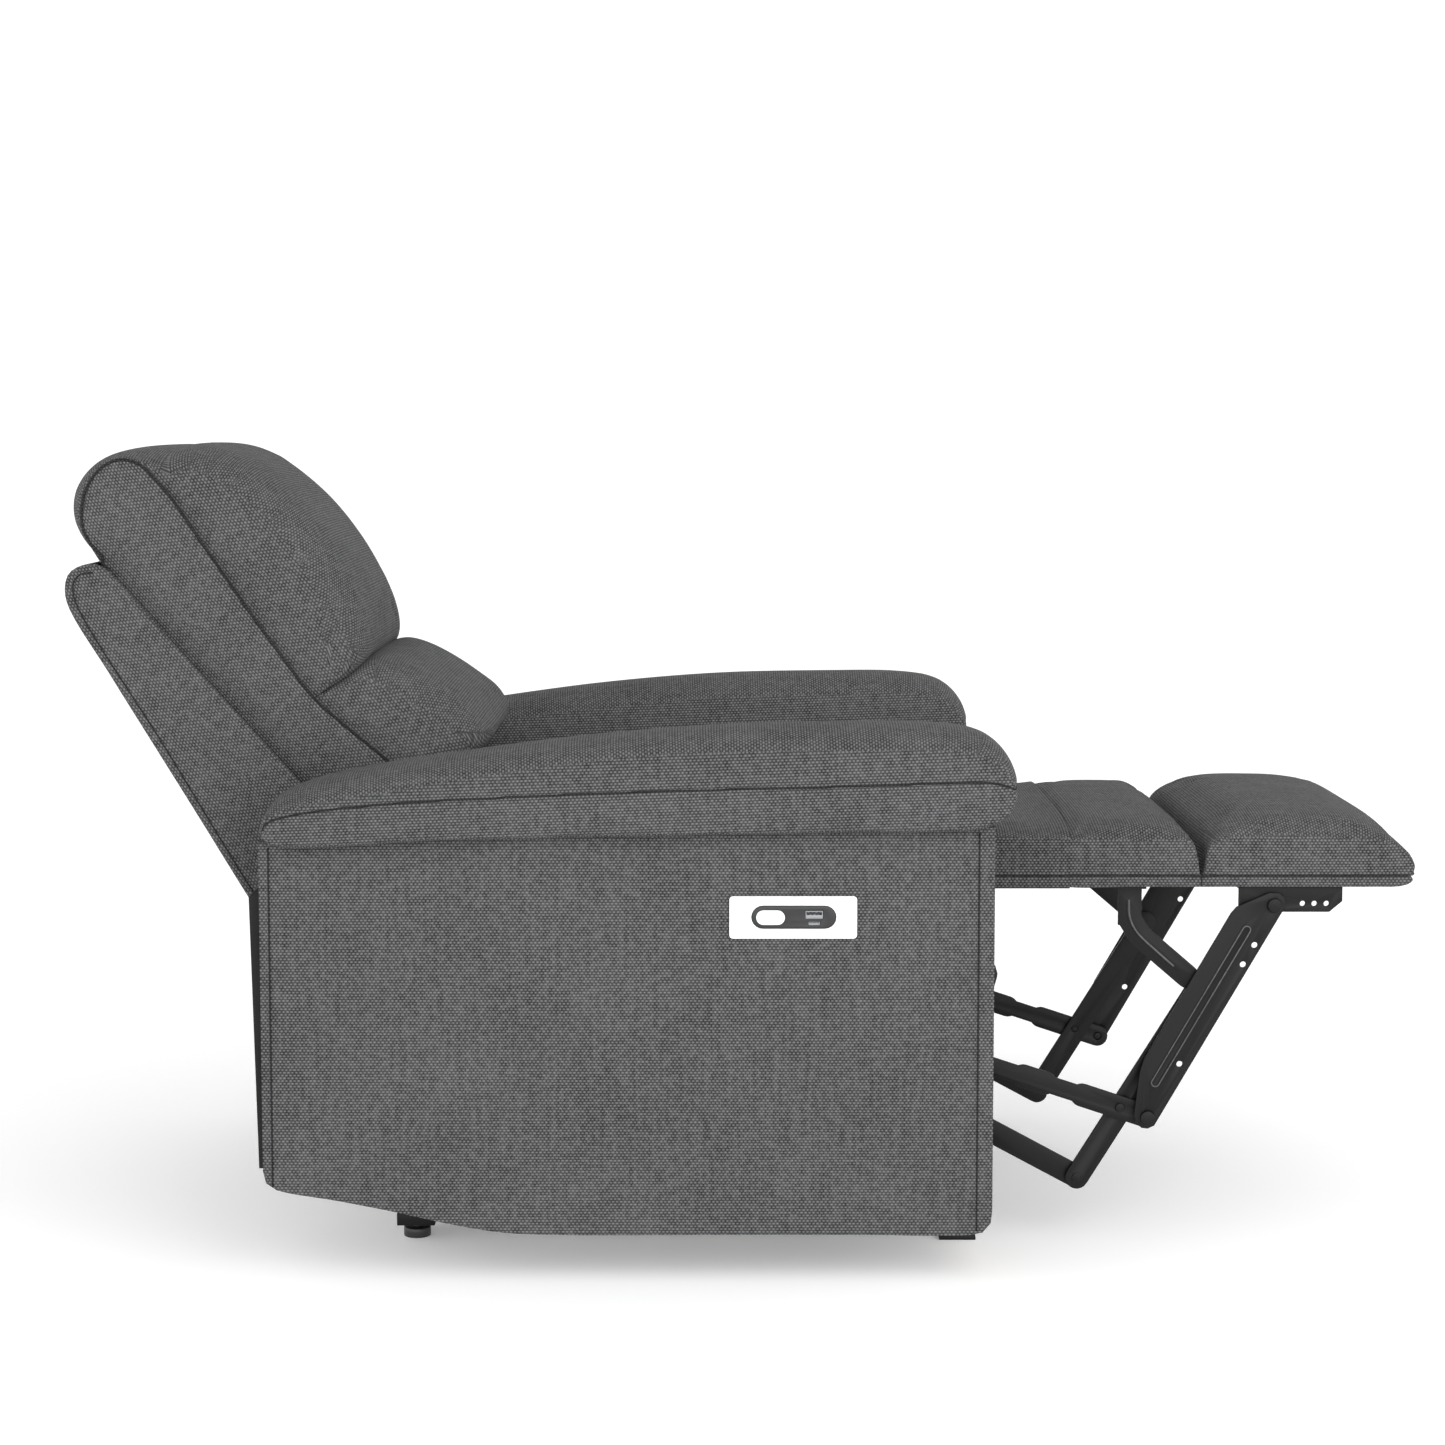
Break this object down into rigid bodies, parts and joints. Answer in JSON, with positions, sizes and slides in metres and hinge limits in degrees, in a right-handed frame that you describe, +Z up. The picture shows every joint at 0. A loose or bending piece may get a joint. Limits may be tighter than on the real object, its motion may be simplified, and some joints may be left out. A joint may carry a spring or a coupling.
{
  "type": "powered recliner armchair",
  "caption": "Powered recliner armchair with padded arms, split head and lumbar cushions and a folding leg rest on a pressed-steel linkage, shown reclined.",
  "frame": {"origin": "floor, under the middle of the reclined chair's bounding box", "axes": "+X forward towards the leg rest, +Y the sitter's left, +Z up; reclined with the leg rest out at rest"},
  "size_m": [1.6064, 0.91, 0.9612],
  "materials": {
    "upholstery_weave": "coarse grey basket-weave upholstery cloth",
    "black_lining": "black non-woven lining",
    "timber_frame": "sawn hardwood and plywood",
    "black_steel": "satin black powder coat on pressed steel",
    "zinc_steel": "bright zinc plate",
    "white_panel": "white moulded plastic",
    "black_plastic": "black moulded plastic"
  },
  "bodies": {
    "base": {"side_cover_right": "upholstery_weave", "side_cover_left": "upholstery_weave", "side_frame_right": "timber_frame", "side_frame_left": "timber_frame", "arm_pad_right": "upholstery_weave", "arm_pad_left": "upholstery_weave", "rear_strip_right": "black_lining", "rear_strip_left": "black_lining", "control_plate": "white_panel", "control_insert": "black_plastic", "usb_a_port": "zinc_steel", "usb_c_port": "zinc_steel", "base_rail_right": "black_steel", "base_rail_left": "black_steel", "base_crossbar_front": "black_steel", "base_crossbar_rear": "black_steel", "rear_glide_right": "black_plastic", "rear_glide_left": "black_plastic", "front_foot_right": "black_steel", "front_foot_left": "black_steel", "seat_plate_right": "black_steel", "seat_plate_left": "black_steel", "seat_frame": "timber_frame", "spring_deck": "black_lining", "stretcher_tube": "black_steel", "seat_cushion": "upholstery_weave", "actuator_body": "black_plastic"},
    "back": {"back_shell": "upholstery_weave", "head_cushion": "upholstery_weave", "lumbar_cushion": "upholstery_weave", "back_frame": "timber_frame", "back_bracket_right": "black_steel", "back_bracket_left": "black_steel", "back_pivot_bolt_right": "zinc_steel", "back_pivot_bolt_left": "zinc_steel"},
    "crank": {"crank_link_right": "black_steel", "crank_link_left": "black_steel", "torque_tube": "black_steel"},
    "long": {"long_link_right": "black_steel", "long_link_left": "black_steel", "knee_rivet_right": "black_steel", "knee_rivet_left": "black_steel", "leg_rivet_right": "black_steel", "leg_rivet_left": "black_steel"},
    "cross": {"cross_link_right": "black_steel", "cross_link_left": "black_steel", "cross_rivet_right": "black_steel", "cross_rivet_left": "black_steel"},
    "rear": {"rear_link_right": "black_steel", "rear_link_left": "black_steel"},
    "leg_rest": {"leg_board": "upholstery_weave", "leg_pad_rear": "upholstery_weave", "leg_pad_front": "upholstery_weave", "front_bracket_right": "black_steel", "front_bracket_left": "black_steel", "rear_bracket_right": "black_steel", "rear_bracket_left": "black_steel"},
    "rod": {"actuator_rod": "zinc_steel"},
    "rocker": {"rocker_button": "white_panel"}
  },
  "joints": [
    {"name": "leg_rest_fold", "type": "hinge", "parent": "base", "child": "crank", "pos_m": [0.292, 0, 0.3245], "axis": [0, 1, 0], "range_deg": [0, 127]},
    {"name": "long_link_swing", "type": "hinge", "parent": "crank", "child": "long", "pos_m": [0.4848, 0, 0.1509], "axis": [0, 1, 0], "range_deg": [-55.6, 0]},
    {"name": "leg_rest_tilt", "type": "hinge", "parent": "long", "child": "leg_rest", "pos_m": [0.6334, 0, 0.4095], "axis": [0, 1, 0], "range_deg": [0, 18.6]},
    {"name": "cross_link_swing", "type": "hinge", "parent": "crank", "child": "cross", "pos_m": [0.4529, 0, 0.1614], "axis": [0, 1, 0], "range_deg": [-70.9, 0]},
    {"name": "rear_link_swing", "type": "hinge", "parent": "base", "child": "rear", "pos_m": [0.2492, 0, 0.316], "axis": [0, 1, 0], "range_deg": [0, 117]},
    {"name": "actuator_extend", "type": "slide", "parent": "base", "child": "rod", "axis": [1, 0, 0], "range_m": [-0.0397, 0]},
    {"name": "back_recline", "type": "hinge", "parent": "base", "child": "back", "pos_m": [-0.4213, 0, 0.375], "axis": [0, 1, 0], "range_deg": [0, 21]},
    {"name": "rocker_press", "type": "hinge", "parent": "base", "child": "rocker", "pos_m": [0.0282, -0.4334, 0.425], "axis": [0, 0, 1], "range_deg": [-4, 4], "stiffness_Nm_per_rad": 0.4}
  ],
  "couplings": [
    {"joint": "long_link_swing", "follows": "leg_rest_fold", "ratio": -0.43696},
    {"joint": "leg_rest_tilt", "follows": "leg_rest_fold", "ratio": 0.14568},
    {"joint": "cross_link_swing", "follows": "leg_rest_fold", "ratio": -0.55682},
    {"joint": "rear_link_swing", "follows": "leg_rest_fold", "ratio": 0.91921},
    {"joint": "actuator_extend", "follows": "leg_rest_fold", "m_per_rad": -0.01777}
  ]
}
